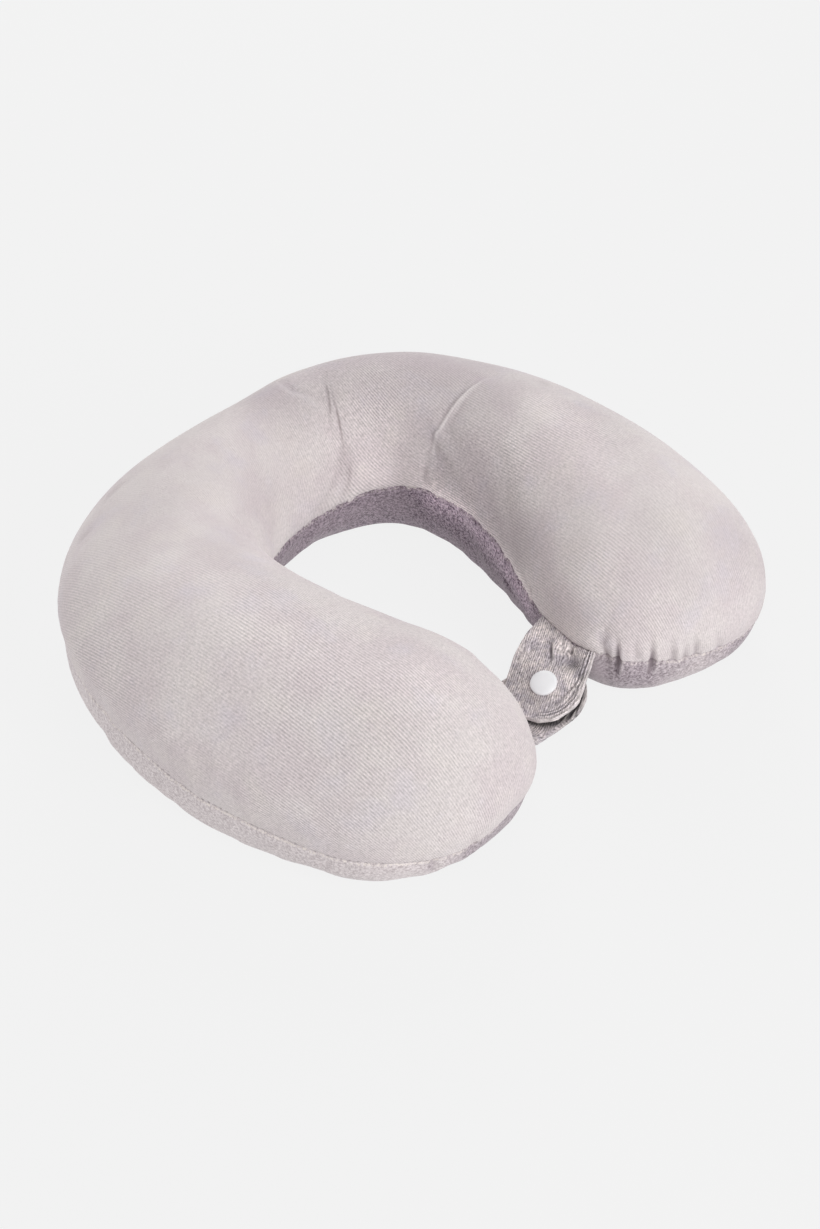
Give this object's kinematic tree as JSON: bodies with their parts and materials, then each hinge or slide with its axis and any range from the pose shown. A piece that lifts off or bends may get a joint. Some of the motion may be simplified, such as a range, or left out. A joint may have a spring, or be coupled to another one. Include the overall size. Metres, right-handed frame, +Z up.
{
  "type": "memory foam neck pillow",
  "caption": "U-shaped memory foam neck pillow in a velour cover, its mouth closed by overlapping fabric tabs with a plastic snap.",
  "frame": {"origin": "on the resting surface, under the centre of the pillow's outer box", "axes": "+Z up from the resting base to the crown; -Y toward the open mouth between the arms; +X toward the arm that carries the upper tab"},
  "size_m": [0.3026, 0.2714, 0.0915],
  "materials": {
    "cover_velour": "short ribbed velour, warm light grey, soft sheen",
    "tab_velour": "short velour, light grey, crushed pile",
    "snap_plastic": "smooth white moulded plastic, satin gloss"
  },
  "bodies": {
    "root": {"pillow": "cover_velour", "tab_upper": "tab_velour", "tab_lower": "tab_velour", "snap_cap": "snap_plastic", "snap_socket": "snap_plastic", "snap_stud": "snap_plastic", "snap_back_cap": "snap_plastic"}
  },
  "joints": []
}
